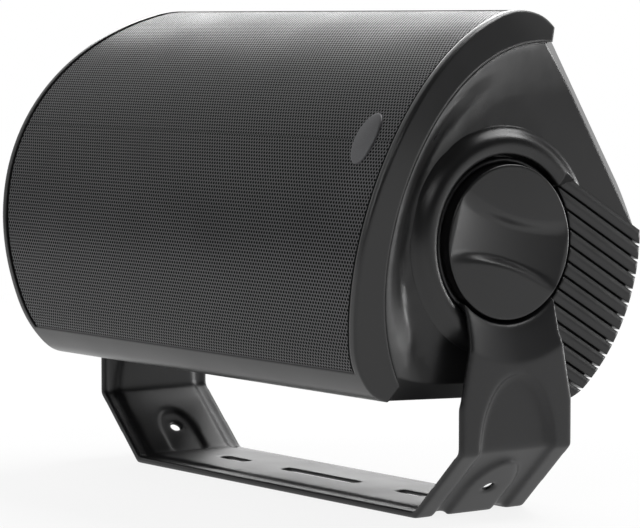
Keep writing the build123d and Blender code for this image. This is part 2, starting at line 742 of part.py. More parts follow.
def make_woofer(parts):
    for name, section in woofer_sections().items():
        parts[name] = turned_y(section, WOOFER_X)
    window = Pos(WOOFER_X, 0, 0) * Rot(0, 45, 0)
    seat = BOARD_FRONT + GASKET_THICK
    depth = (seat - BASKET_DEPTH + 2 * BASKET_SHEET, seat - 3 * BASKET_SHEET)
    bar = block((-FAR, FAR), depth, (-BASKET_WINDOW / 2, BASKET_WINDOW / 2))
    parts["woofer_basket"] -= [window * bar, window * Rot(0, 90, 0) * bar]
    hole = SCREW_SHANK + SCREW_FIT
    spots = driver_spots(WOOFER_X, WOOFER_SCREW_RING)
    face = seat + FLANGE_THICK
    for name in ("woofer_basket", "woofer_gasket"):
        parts[name] -= [rod_y(x, up, hole, face, FLANGE_THICK + GASKET_THICK) for x, up in spots]
    length = FLANGE_THICK + GASKET_THICK + BOARD_THICK
    parts["woofer_screws"] = screws(spots, face, length, head=WOOFER_SCREW_HEAD)
    inner = CONE_RADIUS + ROLL_GAP
    outer = BASKET_RADIUS + BASKET_SHEET
    parts["woofer_surround"] = roll(inner, outer, face)
    slope = CONE_DEPTH / (CONE_RADIUS - COIL_RADIUS - COIL_WALL)
    rim = face - CONE_DEPTH + CONE_SHEET + (CAP_RADIUS - COIL_RADIUS - COIL_WALL) * slope
    parts["dust_cap"] = cap_dome(CAP_RADIUS, CAP_RISE, CONE_SHEET, rim, WOOFER_X)


def make_tweeter(parts):
    front = BOARD_FRONT + FACE_THICK
    bed = BOARD_FRONT + DOME_SHEET
    face = turned_y(
        [
            (FACE_RADIUS, BOARD_FRONT),
            (DOME_FLANGE, BOARD_FRONT),
            (DOME_FLANGE, bed),
            (DOME_RADIUS + DOME_SHEET, bed),
            (DOME_RADIUS + DOME_SHEET, bed + DOME_SHEET),
            (MOUTH_RADIUS, front),
            (FACE_RADIUS, front),
        ],
        TWEETER_X,
    )
    hole = SCREW_SHANK + SCREW_FIT
    spots = driver_spots(TWEETER_X, TWEETER_SCREW_RING)
    parts["tweeter_faceplate"] = face - [rod_y(x, up, hole, front, FACE_THICK) for x, up in spots]
    parts["tweeter_screws"] = screws(spots, front, FACE_THICK + BOARD_THICK)
    ring = turned_y(
        [
            (DOME_RADIUS - 2 * DOME_SHEET, BOARD_FRONT),
            (DOME_FLANGE, BOARD_FRONT),
            (DOME_FLANGE, bed),
            (DOME_RADIUS - 2 * DOME_SHEET, bed),
        ],
        TWEETER_X,
    )
    parts["tweeter_dome"] = ring + cap_dome(DOME_RADIUS, DOME_RISE, DOME_SHEET, BOARD_FRONT, TWEETER_X)
    cup_back = BOARD_FRONT - CUP_DEPTH
    bore = CUP_RADIUS - CUP_WALL
    parts["tweeter_yoke"] = turned_y(
        [
            (0, cup_back),
            (CUP_RADIUS, cup_back),
            (CUP_RADIUS, BOARD_FRONT),
            (DOME_RADIUS, BOARD_FRONT),
            (DOME_RADIUS, BOARD_FRONT - CUP_WALL),
            (bore, BOARD_FRONT - CUP_WALL),
            (bore, cup_back + CUP_WALL),
            (0, cup_back + CUP_WALL),
        ],
        TWEETER_X,
    )
    seat = cup_back + CUP_WALL
    top = seat + TWEETER_MAGNET_THICK
    magnet = [(0, seat), (TWEETER_MAGNET_RADIUS, seat), (TWEETER_MAGNET_RADIUS, top), (0, top)]
    parts["tweeter_magnet"] = turned_y(magnet, TWEETER_X)


def make_terminals(parts):
    flange = centred(PLATE_LENGTH, (-REAR_FACE, PLATE_SHEET - REAR_FACE), PLATE_HEIGHT)
    floor = TRAY_DEPTH - REAR_FACE
    inside = floor + PLATE_SHEET
    tray = centred(TRAY_LENGTH + 2 * PLATE_SHEET, (-REAR_FACE, inside), TRAY_HEIGHT + 2 * PLATE_SHEET)
    plate = flange + tray - centred(TRAY_LENGTH, (-FAR, floor), TRAY_HEIGHT)
    hole = PLATE_SCREW_SHANK + SCREW_FIT
    plate -= [rod_y(x, up, hole, PLATE_SHEET - REAR_FACE, PLATE_SHEET) for x, up in plate_corners()]
    shank, head = PLATE_SCREW_SHANK, PLATE_SCREW_HEAD
    facing = screws(plate_corners(), REAR_FACE, PLATE_SCREW_LENGTH, shank, head, shank)
    parts["terminal_screws"] = [Rot(0, 0, 180) * piece for piece in facing]
    collar = floor - POST_COLLAR_THICK
    tip = collar - CAP_GAP - POST_CAP_LENGTH - POST_RADIUS / 2
    post = [
        (0, inside + POST_NUT + POST_TAIL),
        (POST_RADIUS, inside + POST_NUT + POST_TAIL),
        (POST_RADIUS, inside + POST_NUT),
        (POST_COLLAR, inside + POST_NUT),
        (POST_COLLAR, inside),
        (POST_RADIUS, inside),
        (POST_RADIUS, floor),
        (POST_COLLAR, floor),
        (POST_COLLAR, collar),
        (POST_RADIUS, collar),
        (POST_RADIUS, tip),
        (0, tip),
    ]
    for name, x in (("red_post", POST_SPACING / 2), ("black_post", -POST_SPACING / 2)):
        plate -= rod_y(x, 0, POST_RADIUS + SCREW_FIT, inside, PLATE_SHEET)
        parts[name] = turned_y(post, x)
        face = Plane(origin=(x, -(collar - CAP_GAP), 0), z_dir=(0, 1, 0))
        grip = face * extrude(RegularPolygon(POST_CAP_RADIUS, POST_CAP_SIDES), POST_CAP_LENGTH)
        parts[name + "_cap"] = grip - rod_y(x, 0, POST_RADIUS + RUNNING_FIT, 0, FAR)
    parts["terminal_plate"] = plate


def make_crossover(parts):
    front = CARD_THICK - CARD_STANDOFF
    card = Pos(CARD_X, 0, 0) * centred(CARD_LENGTH, (-CARD_STANDOFF, front), CARD_HEIGHT)
    hole = SCREW_SHANK + SCREW_FIT
    parts["crossover_board"] = card - [rod_y(x, up, hole, front, CARD_THICK) for x, up in card_corners()]
    parts["board_screws"] = screws(card_corners(), front, CARD_THICK + WALL - SCREW_FIT)
    coil = [
        (INDUCTOR_BORE, front),
        (INDUCTOR_RADIUS, front),
        (INDUCTOR_RADIUS, front + INDUCTOR_HEIGHT),
        (INDUCTOR_BORE, front + INDUCTOR_HEIGHT),
    ]
    parts["inductor_coils"] = [turned_y(coil, CARD_X + i * INDUCTOR_SPREAD, 0) for i in (1, -1)]
    rise = INDUCTOR_RADIUS + PART_GAP / 2 + CAPACITOR_RADIUS
    across = (CAPACITOR_LENGTH + PART_GAP) / 2
    can = Pos(0, -(front + CAPACITOR_RADIUS), rise)
    can *= drum_x(CAPACITOR_RADIUS, -CAPACITOR_LENGTH / 2, CAPACITOR_LENGTH / 2)
    parts["capacitors"] = [Pos(CARD_X + i * across, 0, 0) * can for i in (1, -1)]
    low = -(INDUCTOR_RADIUS + PART_GAP / 2 + RESISTOR_SIDE / 2)
    brick = block(
        (-RESISTOR_LENGTH / 2, RESISTOR_LENGTH / 2),
        (front, front + RESISTOR_SIDE),
        (low - RESISTOR_SIDE / 2, low + RESISTOR_SIDE / 2),
    )
    apart = (RESISTOR_LENGTH + PART_GAP) / 2
    parts["resistors"] = [Pos(CARD_X + i * apart, 0, 0) * brick for i in (1, -1)]


def make_damping():
    outer = long_form(WALL + PAD_FIT, LENGTH)
    inner = long_form(WALL + PAD_FIT + PAD_THICK, LENGTH)
    return (outer - inner) & block(PAD_X, (-FAR, -REAR / 2), (-PAD_UP, PAD_UP))


def make_speaker():
    body = whole_body()
    parts = {
        "cabinet": make_cabinet(body),
        "cabinet_gasket": make_gasket(),
        "front_baffle": make_baffle(body),
        "grille": make_grille(),
        "badge_plate": make_badge(),
        "baffle_screws": screws(screw_spots(), BOARD_FRONT, BAFFLE_SCREW_LENGTH),
        "damping_pad": make_damping(),
        "stud_inserts": both_ends(make_insert()),
        "friction_washers": both_ends(make_washer()),
        "right_knob": make_knob(),
        "left_knob": Rot(0, 0, 180) * make_knob(),
        "right_knob_stud": make_stud(),
        "left_knob_stud": Rot(0, 0, 180) * make_stud(),
    }
    make_woofer(parts)
    make_tweeter(parts)
    make_terminals(parts)
    make_crossover(parts)
    return parts


def solids_of(shape):
    pieces = shape if isinstance(shape, list) else [shape]
    return [solid for piece in pieces for solid in piece.solids()]


os.makedirs("parts", exist_ok=True)
tilted = Pos(0, 0, AXIS_HEIGHT) * Rot(-TILT, 0, 0)
placed = {name: [tilted * s for s in solids_of(shape)] for name, shape in make_speaker().items()}
placed["bracket"] = solids_of(make_bracket())
for name, pieces in placed.items():
    shape = pieces[0] if len(pieces) == 1 else Compound(children=pieces)
    shape.label = name
    export_step(shape, f"parts/{name}.step")
    print(name, len(pieces), round(sum(s.volume for s in pieces)))
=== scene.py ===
import json
import math

import bpy
from mathutils import Matrix, Vector

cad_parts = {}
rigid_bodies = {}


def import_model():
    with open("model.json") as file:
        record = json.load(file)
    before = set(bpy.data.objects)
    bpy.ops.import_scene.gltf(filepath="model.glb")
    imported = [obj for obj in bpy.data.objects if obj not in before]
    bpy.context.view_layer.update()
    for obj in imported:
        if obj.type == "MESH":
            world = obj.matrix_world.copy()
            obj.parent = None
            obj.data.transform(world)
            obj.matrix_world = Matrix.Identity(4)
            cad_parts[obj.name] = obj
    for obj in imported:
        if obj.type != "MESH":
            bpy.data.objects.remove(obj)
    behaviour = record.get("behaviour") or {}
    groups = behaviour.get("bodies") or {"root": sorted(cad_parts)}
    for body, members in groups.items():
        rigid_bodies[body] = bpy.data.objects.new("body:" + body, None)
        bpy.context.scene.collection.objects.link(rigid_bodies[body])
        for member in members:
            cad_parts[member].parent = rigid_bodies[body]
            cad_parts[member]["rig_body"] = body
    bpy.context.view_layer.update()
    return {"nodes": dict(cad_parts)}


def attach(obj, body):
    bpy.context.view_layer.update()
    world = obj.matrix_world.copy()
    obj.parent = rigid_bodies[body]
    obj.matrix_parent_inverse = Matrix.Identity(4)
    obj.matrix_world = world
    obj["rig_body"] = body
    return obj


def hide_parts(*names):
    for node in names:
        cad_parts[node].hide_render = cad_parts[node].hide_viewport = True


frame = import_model()
scene = bpy.context.scene
mm = 0.001
print("frame loaded:", len(frame["nodes"]), "nodes")


def linear(hexText):
    # sRGB hex to the linear colour that the nodes work in
    parts = [int(hexText[i:i + 2], 16) / 255 for i in (1, 3, 5)]
    curve = [p / 12.92 if p <= 0.04045 else ((p + 0.055) / 1.055) ** 2.4 for p in parts]
    return (*curve, 1.0)


def addNode(tree, kind, inputs=None, **settings):
    node = tree.nodes.new(kind)
    for name, value in settings.items():
        setattr(node, name, value)
    for key, value in (inputs or {}).items():
        if isinstance(value, bpy.types.NodeSocket):
            tree.links.new(value, node.inputs[key])
        else:
            node.inputs[key].default_value = value
    return node


# The cabinet leans back in its bracket: local X along it, -Y out of the grille, Z up
lean = {"tilt": 30.2, "axisHeight": 131.0}
leanMatrix = Matrix.Translation((0, 0, lean["axisHeight"] * mm))
leanMatrix @= Matrix.Rotation(math.radians(-lean["tilt"]), 4, "X")

# The front's section in mm: a wide nose between two tighter shoulders, and ends on a barrel curve
front = {
    "lift": 4.0,
    "noseFront": 91.6,
    "noseRadius": 123.5,
    "noseHalf": 87.3,
    "shoulderRadius": 47.5,
    "endRadius": 255.0,
    "halfLength": 161.0,
}

# The ribs on the rear: their spacing, half the height of their field and where it starts behind the axis
ribField = {"pitch": 7.0, "band": 45.5, "start": 15.0}


# Camera, floor and light

photoView = {
    "azimuth": 53.18,
    "elevation": 4.42,
    "target": (-0.0008, 0.0, 0.1117),
    "distance": 1.5846,
    "lens": 176.3,
    "sensor": 36.0,
    "farClip": 100.0,
}

studio = {
    "white": "#ffffff",
    "floorColour": "#f2f2f2",
    "floorSize": 30.0,
    "floorGlow": (0.86, 1.0),           # close to the object, where its shadow shows, and far away
    "floorFade": (0.25, 1.1),           # metres from the middle
    "backdropWay": (-0.8, 0.6, 0.0),    # the white paper stands behind the object, and the room in front is dim
    "backdropEdge": (0.05, 0.75),
    "roomGlow": 0.10,
    "worldGlow": 1.0,
    "worldLight": 0.30,
    "lamps": {
        # name: place, size, watts
        "overheadSoftbox": ((-0.1, 1.2, 1.9), (1.5, 1.2), 40.0),
        "frontFill": ((-0.9, -2.2, 1.3), (1.4, 1.4), 15.0),
        "keySoftbox": ((1.25, -1.25, 1.45), (0.4, 0.4), 4.0),
        "lowStrip": ((0.45, 1.9, 0.2), (0.8, 0.4), 13.0),
        "backStrip": ((-1.7, 1.15, 1.0), (1.2, 0.6), 12.0),
    },
}


def makeCamera():
    az, el = math.radians(photoView["azimuth"]), math.radians(photoView["elevation"])
    away = Vector((math.sin(az) * math.cos(el), -math.cos(az) * math.cos(el), math.sin(el)))
    data = bpy.data.cameras.new("photoCamera")
    data.lens = photoView["lens"]
    data.sensor_width = photoView["sensor"]
    data.sensor_fit = "HORIZONTAL"
    data.clip_end = photoView["farClip"]
    camera = bpy.data.objects.new("photoCamera", data)
    camera.location = Vector(photoView["target"]) + away * photoView["distance"]
    camera.rotation_euler = away.to_track_quat("Z", "Y").to_euler()
    scene.collection.objects.link(camera)
    scene.camera = camera


def makeStudio():
    world = bpy.data.worlds.new("softDaylight")
    world.use_nodes = True
    scene.world = world
    tree = world.node_tree
    tree.nodes.clear()
    path = addNode(tree, "ShaderNodeLightPath").outputs
    way = addNode(tree, "ShaderNodeTexCoord").outputs["Generated"]
    facing = addNode(tree, "ShaderNodeVectorMath", {0: way, 1: studio["backdropWay"]}, operation="DOT_PRODUCT")
    dim, bright = studio["backdropEdge"]
    mirrored = addNode(tree, "ShaderNodeMapRange", {
        "Value": facing.outputs["Value"], "From Min": dim, "From Max": bright,
        "To Min": studio["roomGlow"], "To Max": studio["worldGlow"]}, interpolation_type="SMOOTHSTEP")
    bent = addNode(tree, "ShaderNodeMath", {0: path["Is Glossy Ray"], 1: path["Is Transmission Ray"]},
                   operation="MAXIMUM")
    first = addNode(tree, "ShaderNodeMix", {0: bent.outputs[0], 2: studio["worldLight"], 3: mirrored.outputs[0]})
    level = addNode(tree, "ShaderNodeMix", {0: path["Is Camera Ray"], 2: first.outputs[0], 3: studio["worldGlow"]})
    glow = addNode(tree, "ShaderNodeBackground", {"Color": linear(studio["white"]), "Strength": level.outputs[0]})
    addNode(tree, "ShaderNodeOutputWorld", {"Surface": glow.outputs[0]})

    paper = bpy.data.materials.new("paperSweep")  # matt white paper that glows where it is seen
    paper.use_nodes = True
    tree = paper.node_tree
    tree.nodes.clear()
    path = addNode(tree, "ShaderNodeLightPath")
    seen = addNode(tree, "ShaderNodeMath", {0: path.outputs["Is Camera Ray"], 1: path.outputs["Is Glossy Ray"]},
                   operation="MAXIMUM")
    place = addNode(tree, "ShaderNodeTexCoord").outputs["Object"]
    away = addNode(tree, "ShaderNodeVectorMath", {0: place}, operation="LENGTH")
    level = addNode(tree, "ShaderNodeMapRange", {
        "Value": away.outputs["Value"], "From Min": studio["floorFade"][0], "From Max": studio["floorFade"][1],
        "To Min": studio["floorGlow"][0], "To Max": studio["floorGlow"][1]})
    share = addNode(tree, "ShaderNodeMath", {0: seen.outputs[0], 1: level.outputs[0]}, operation="MULTIPLY")
    matt = addNode(tree, "ShaderNodeBsdfDiffuse", {"Color": linear(studio["floorColour"])})
    light = addNode(tree, "ShaderNodeEmission", {"Color": linear(studio["white"]), "Strength": 1.0})
    both = addNode(tree, "ShaderNodeMixShader", {0: share.outputs[0], 1: matt.outputs[0], 2: light.outputs[0]})
    addNode(tree, "ShaderNodeOutputMaterial", {"Surface": both.outputs[0]})
    mesh = bpy.data.meshes.new("floor")
    half = studio["floorSize"] / 2
    mesh.from_pydata([(-half, -half, 0), (half, -half, 0), (half, half, 0), (-half, half, 0)], [], [(0, 1, 2, 3)])
    mesh.materials.append(paper)
    floor = bpy.data.objects.new("floor", mesh)
    scene.collection.objects.link(floor)

    for name, (place, size, watts) in studio["lamps"].items():
        data = bpy.data.lights.new(name, "AREA")
        data.shape = "RECTANGLE"
        data.size, data.size_y = size
        data.energy = watts
        lamp = bpy.data.objects.new(name, data)
        lamp.location = place
        lamp.rotation_euler = (Vector(place) - Vector(photoView["target"])).to_track_quat("Z", "Y").to_euler()
        scene.collection.objects.link(lamp)
    scene.view_settings.view_transform = "Standard"


makeCamera()
makeStudio()
print("camera and studio ready")


# Finishes: two tones, metal or not, roughness low and high, a grain with its size and depth in mm,
# and the radius of the edges where a mould rounds them

finishes = {
    # black ABS from a spark-eroded mould: satin, with a fine even grain
    "mouldedAbs": {"tones": ("#0e0e0f", "#141415"), "metallic": 0.0, "rough": (0.27, 0.33), "ior": 1.5,
                   "grain": 0.45, "depth": 0.006, "edge": 1.6},
    # the cabinet's ABS, with the soft round of its ribs
    "ribbedAbs": {"tones": ("#0e0e0f", "#141415"), "metallic": 0.0, "rough": (0.27, 0.33), "ior": 1.5,
                  "grain": 0.45, "depth": 0.006, "edge": 1.6, "ribRound": 0.9},
    # the knobs' ABS: the same satin, a shade lighter
    "knobAbs": {"tones": ("#101011", "#161617"), "metallic": 0.0, "rough": (0.27, 0.33), "ior": 1.5,
                "grain": 0.5, "depth": 0.006},
    # polyester powder coat on aluminium: satin, with a low orange peel
    "powderCoat": {"tones": ("#121213", "#18181a"), "metallic": 0.0, "rough": (0.38, 0.45), "ior": 1.5,
                   "grain": 1.4, "depth": 0.004},
    # the grille's coat is thinner and duller, and greys with the light from above
    "grilleCoat": {"tones": ("#38383a", "#444446"), "metallic": 0.0, "rough": (0.32, 0.40), "ior": 1.5,
                   "grain": 0.8, "depth": 0.01},
    # painted shade: a matt near-black sheet behind the holes that stands in for the shade inside the cabinet
    "paintedShadeScrim": {"tones": ("#020202", "#040404"), "metallic": 0.0, "rough": (0.9, 1.0), "ior": 1.3,
                   "grain": 0.6, "depth": 0.02},
    # satin anodised plate with a soft even sheen
    "anodisedPlate": {"tones": ("#3e3e40", "#555557"), "metallic": 0.3, "rough": (0.34, 0.42), "ior": 1.5,
                      "grain": 0.4, "depth": 0.010},
    # black foam rubber: dull, with a soft bloom
    "neoprene": {"tones": ("#0c0c0c", "#131313"), "metallic": 0.0, "rough": (0.7, 0.85), "ior": 1.5,
                 "grain": 0.6, "depth": 0.03},
    # zinc-plated steel: bright, a little cloudy
    "zincSteel": {"tones": ("#8d8f90", "#a2a4a6"), "metallic": 1.0, "rough": (0.28, 0.42), "ior": 1.5,
                  "grain": 1.2, "depth": 0.006},
    # turned brass: warm, with a clear shine
    "turnedBrass": {"tones": ("#b08a45", "#c29b55"), "metallic": 1.0, "rough": (0.22, 0.34), "ior": 1.5,
                    "grain": 0.5, "depth": 0.006},
    # pressed and fired ferrite: dark grey and stony
    "sinteredFerrite": {"tones": ("#2a2a2c", "#353538"), "metallic": 0.0, "rough": (0.6, 0.75), "ior": 1.6,
                        "grain": 0.5, "depth": 0.02},
    # injected polypropylene: slightly waxy black
    "polypropyleneCone": {"tones": ("#1a1a1b", "#222224"), "metallic": 0.0, "rough": (0.4, 0.52), "ior": 1.49,
                          "grain": 1.0, "depth": 0.02},
    # lacquered copper wire: red-brown with a sheen
    "copperWire": {"tones": ("#8f4f2a", "#b4683a"), "metallic": 1.0, "rough": (0.3, 0.4), "ior": 1.5,
                   "grain": 0.7, "depth": 0.03},
    # glass laminate under green solder mask: smooth, with a low gloss
    "boardLaminate": {"tones": ("#2c4a2f", "#375a39"), "metallic": 0.0, "rough": (0.35, 0.45), "ior": 1.55,
                      "grain": 1.5, "depth": 0.01},
    # shrunk vinyl sleeve: smooth blue-black
    "shrinkSleeve": {"tones": ("#20202c", "#282836"), "metallic": 0.0, "rough": (0.25, 0.35), "ior": 1.5,
                     "grain": 2.0, "depth": 0.01},
    # cast cement: pale and chalky
    "castCement": {"tones": ("#c4c2ba", "#d6d4cc"), "metallic": 0.0, "rough": (0.75, 0.9), "ior": 1.5,
                   "grain": 0.5, "depth": 0.04},
    # moulded red nylon: clean and slightly glossy
    "redNylon": {"tones": ("#8e1414", "#a11a1a"), "metallic": 0.0, "rough": (0.25, 0.35), "ior": 1.53,
                 "grain": 0.8, "depth": 0.01},
    # the same nylon in black
    "blackNylon": {"tones": ("#0d0d0e", "#131314"), "metallic": 0.0, "rough": (0.25, 0.35), "ior": 1.53,
                   "grain": 0.8, "depth": 0.01},
    # carded polyester: white, loose and matt
    "polyesterWadding": {"tones": ("#d2d2cd", "#e6e6e1"), "metallic": 0.0, "rough": (0.9, 1.0), "ior": 1.5,
                         "grain": 2.5, "depth": 0.3},
    # cloth stiffened with resin: black with a faint weave
    "coatedCloth": {"tones": ("#101010", "#1a1a1a"), "metallic": 0.0, "rough": (0.6, 0.75), "ior": 1.5,
                    "grain": 0.5, "depth": 0.03},
}
# what all the finishes share: how the grain breaks up, and clouds 40 mm wide that shift tone and gloss a little
texture = {"detail": 3.0, "breakUp": 0.6, "toneRange": (0.1, 0.4), "cloud": 40.0, "cloudDetail": 2.0,
           "cloudRange": (0.3, 0.7), "edgeSamples": 6}
materials = {}


def addRibs(tree, place, normal, height):
    # rounds each rib across its width, in the field that the ribs fill on the speaker's rear
    upWay = leanMatrix.to_3x3() @ Vector((0, 0, 1))
    backWay = leanMatrix.to_3x3() @ Vector((0, 1, 0))
    origin = (0, 0, lean["axisHeight"] * mm)
    local = addNode(tree, "ShaderNodeVectorMath", {0: place, 1: origin}, operation="SUBTRACT")
    up = addNode(tree, "ShaderNodeVectorMath", {0: local.outputs[0], 1: upWay}, operation="DOT_PRODUCT")
    back = addNode(tree, "ShaderNodeVectorMath", {0: local.outputs[0], 1: backWay}, operation="DOT_PRODUCT")
    lifted = addNode(tree, "ShaderNodeMath", {0: up.outputs["Value"], 1: ribField["band"] * mm}, operation="ADD")
    cell = addNode(tree, "ShaderNodeMath", {0: lifted.outputs[0], 1: 1 / (ribField["pitch"] * mm)},
                   operation="MULTIPLY")
    part = addNode(tree, "ShaderNodeMath", {0: cell.outputs[0]}, operation="FRACT")
    off = addNode(tree, "ShaderNodeMath", {0: part.outputs[0], 1: 0.5}, operation="SUBTRACT")
    square = addNode(tree, "ShaderNodeMath", {0: off.outputs[0], 1: off.outputs[0]}, operation="MULTIPLY")
    crown = addNode(tree, "ShaderNodeMath", {0: square.outputs[0], 1: -4.0, 2: 1.0}, operation="MULTIPLY_ADD")
    reach = addNode(tree, "ShaderNodeMath", {0: up.outputs["Value"]}, operation="ABSOLUTE")
    within = addNode(tree, "ShaderNodeMath", {0: reach.outputs[0], 1: ribField["band"] * mm}, operation="LESS_THAN")
    behind = addNode(tree, "ShaderNodeMath", {0: back.outputs["Value"], 1: ribField["start"] * mm},
                     operation="GREATER_THAN")
    field = addNode(tree, "ShaderNodeMath", {0: within.outputs[0], 1: behind.outputs[0]}, operation="MULTIPLY")
    profile = addNode(tree, "ShaderNodeMath", {0: crown.outputs[0], 1: field.outputs[0]}, operation="MULTIPLY")
    bump = addNode(tree, "ShaderNodeBump", {"Height": profile.outputs[0], "Distance": height * mm,
                                            "Normal": normal})
    return bump.outputs[0]


def makeFinish(name, finish):
    material = bpy.data.materials.new(name)
    material.use_nodes = True
    tree = material.node_tree
    tree.nodes.clear()
    place = addNode(tree, "ShaderNodeTexCoord").outputs["Object"]
    grain = addNode(tree, "ShaderNodeTexNoise", {"Vector": place, "Scale": 1 / (finish["grain"] * mm),
                                                 "Detail": texture["detail"], "Roughness": texture["breakUp"]})
    cloud = addNode(tree, "ShaderNodeTexNoise", {"Vector": place, "Scale": 1 / (texture["cloud"] * mm),
                                                 "Detail": texture["cloudDetail"]})
    mixed = addNode(tree, "ShaderNodeMath", {0: grain.outputs["Fac"], 1: cloud.outputs["Fac"]},
                    operation="MULTIPLY")
    low, high = texture["toneRange"]
    spread = addNode(tree, "ShaderNodeMapRange", {"Value": mixed.outputs[0], "From Min": low, "From Max": high})
    deep, light = (linear(shade) for shade in finish["tones"])
    tone = addNode(tree, "ShaderNodeMix", {0: spread.outputs[0], 6: deep, 7: light}, data_type="RGBA")
    low, high = texture["cloudRange"]
    smooth, dull = finish["rough"]
    rough = addNode(tree, "ShaderNodeMapRange", {"Value": cloud.outputs["Fac"], "From Min": low, "From Max": high,
                                                 "To Min": smooth, "To Max": dull})
    bump = addNode(tree, "ShaderNodeBump", {"Height": grain.outputs["Fac"], "Strength": 1.0,
                                            "Distance": finish["depth"] * mm})
    if "edge" in finish:
        edge = addNode(tree, "ShaderNodeBevel", {"Radius": finish["edge"] * mm}, samples=texture["edgeSamples"])
        normal = edge.outputs[0]
        if "ribRound" in finish:
            normal = addRibs(tree, place, normal, finish["ribRound"])
        tree.links.new(normal, bump.inputs["Normal"])
    shader = addNode(tree, "ShaderNodeBsdfPrincipled", {
        "Base Color": tone.outputs[2], "Roughness": rough.outputs[0], "Normal": bump.outputs[0],
        "Metallic": finish["metallic"], "IOR": finish["ior"]})
    addNode(tree, "ShaderNodeOutputMaterial", {"Surface": shader.outputs[0]})
    materials[name] = material


for name, finish in finishes.items():
    makeFinish(name, finish)
print("finishes ready:", len(materials))


# CAD nodes: which finish each one wears, and which ones get a smooth shaded copy

wears = {
    "bracket": "powderCoat", "cabinet": "ribbedAbs", "cabinet_gasket": "neoprene", "front_baffle": "mouldedAbs",
    # the grille's own node wears the painted shade that shows through the skin's holes
    "grille": "paintedShadeScrim", "badge_plate": "anodisedPlate", "baffle_screws": "zincSteel",
    "damping_pad": "polyesterWadding", "stud_inserts": "turnedBrass", "friction_washers": "neoprene",
    "right_knob": "knobAbs", "left_knob": "knobAbs", "right_knob_stud": "zincSteel",
    "left_knob_stud": "zincSteel", "woofer_basket": "zincSteel", "woofer_top_plate": "zincSteel",
    "woofer_magnet": "sinteredFerrite", "woofer_yoke": "zincSteel", "voice_coil": "copperWire",
    "woofer_cone": "polypropyleneCone", "woofer_spider": "coatedCloth", "woofer_gasket": "neoprene",
    "woofer_screws": "zincSteel", "woofer_surround": "neoprene", "dust_cap": "polypropyleneCone",
    "tweeter_faceplate": "mouldedAbs", "tweeter_screws": "zincSteel", "tweeter_dome": "coatedCloth",
    "tweeter_yoke": "zincSteel", "tweeter_magnet": "sinteredFerrite", "terminal_plate": "mouldedAbs",
    "terminal_screws": "zincSteel", "red_post": "turnedBrass", "red_post_cap": "redNylon",
    "black_post": "turnedBrass", "black_post_cap": "blackNylon", "crossover_board": "boardLaminate",
    "board_screws": "zincSteel", "inductor_coils": "copperWire", "capacitors": "shrinkSleeve",
    "resistors": "castCement",
}
smoothed = {"angle": 28.0, "weld": 0.004,
            "nodes": ("cabinet", "front_baffle", "terminal_plate", "terminal_screws", "red_post", "black_post")}


def newTree(name, sizes):
    # an empty geometry tree with a named input for each size
    tree = bpy.data.node_groups.new(name, "GeometryNodeTree")
    tree.interface.new_socket("Geometry", in_out="INPUT", socket_type="NodeSocketGeometry")
    tree.interface.new_socket("Geometry", in_out="OUTPUT", socket_type="NodeSocketGeometry")
    for label, kind in sizes.items():
        tree.interface.new_socket(label, in_out="INPUT", socket_type=kind)
    return tree


def runTree(name, tree, values, mesh=None):
    # evaluates the tree on a mesh and gives back a plain object
    carrier = bpy.data.objects.new(name + "Carrier", mesh or bpy.data.meshes.new(name + "Carrier"))
    scene.collection.objects.link(carrier)
    modifier = carrier.modifiers.new("nodes", "NODES")
    modifier.node_group = tree
    for item in tree.interface.items_tree:
        if item.in_out == "INPUT" and item.name in values:
            modifier[item.identifier] = values[item.name]
    carrier.update_tag()
    bpy.context.view_layer.update()
    graph = bpy.context.evaluated_depsgraph_get()
    made = bpy.data.meshes.new_from_object(carrier.evaluated_get(graph))
    made.name = name
    bpy.data.objects.remove(carrier)
    piece = bpy.data.objects.new(name, made)
    scene.collection.objects.link(piece)
    return piece


def makeShadeTree():
    tree = newTree("softShade", {"Weld": "NodeSocketFloat", "Angle": "NodeSocketFloat",
                                 "Finish": "NodeSocketMaterial"})
    given = addNode(tree, "NodeGroupInput").outputs
    weld = addNode(tree, "GeometryNodeMergeByDistance", {"Geometry": given["Geometry"], "Distance": given["Weld"]})
    bend = addNode(tree, "GeometryNodeInputMeshEdgeAngle")
    sharp = addNode(tree, "FunctionNodeCompare", {0: bend.outputs[0], 1: given["Angle"]}, operation="LESS_THAN")
    faces = addNode(tree, "GeometryNodeSetShadeSmooth", {0: weld.outputs[0]}, domain="FACE")
    edges = addNode(tree, "GeometryNodeSetShadeSmooth", {0: faces.outputs[0], 2: sharp.outputs[0]}, domain="EDGE")
    coat = addNode(tree, "GeometryNodeSetMaterial", {0: edges.outputs[0], 2: given["Finish"]})
    addNode(tree, "NodeGroupOutput", {0: coat.outputs[0]})
    return tree


def flatten(piece):
    # turns what the modifiers make into the piece's own plain mesh
    graph = bpy.context.evaluated_depsgraph_get()
    made = bpy.data.meshes.new_from_object(piece.evaluated_get(graph))
    piece.modifiers.clear()
    piece.data = made


def evenOut(piece):
    # large faces set the shading of the small ones beside them
    modifier = piece.modifiers.new("even", "WEIGHTED_NORMAL")
    modifier.keep_sharp = True
    flatten(piece)


def dressNodes():
    shadeTree = makeShadeTree()
    for node, finishName in wears.items():
        mesh = frame["nodes"][node].data
        mesh.materials.clear()
        mesh.materials.append(materials[finishName])
        if node not in smoothed["nodes"]:
            continue
        name = "smooth" + "".join(word.capitalize() for word in node.split("_"))
        piece = runTree(name, shadeTree, {"Weld": smoothed["weld"] * mm, "Angle": math.radians(smoothed["angle"]),
                                          "Finish": materials[finishName]}, mesh.copy())
        evenOut(piece)
        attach(piece, frame["nodes"][node]["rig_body"])
        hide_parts(node)


dressNodes()
print("CAD nodes dressed")


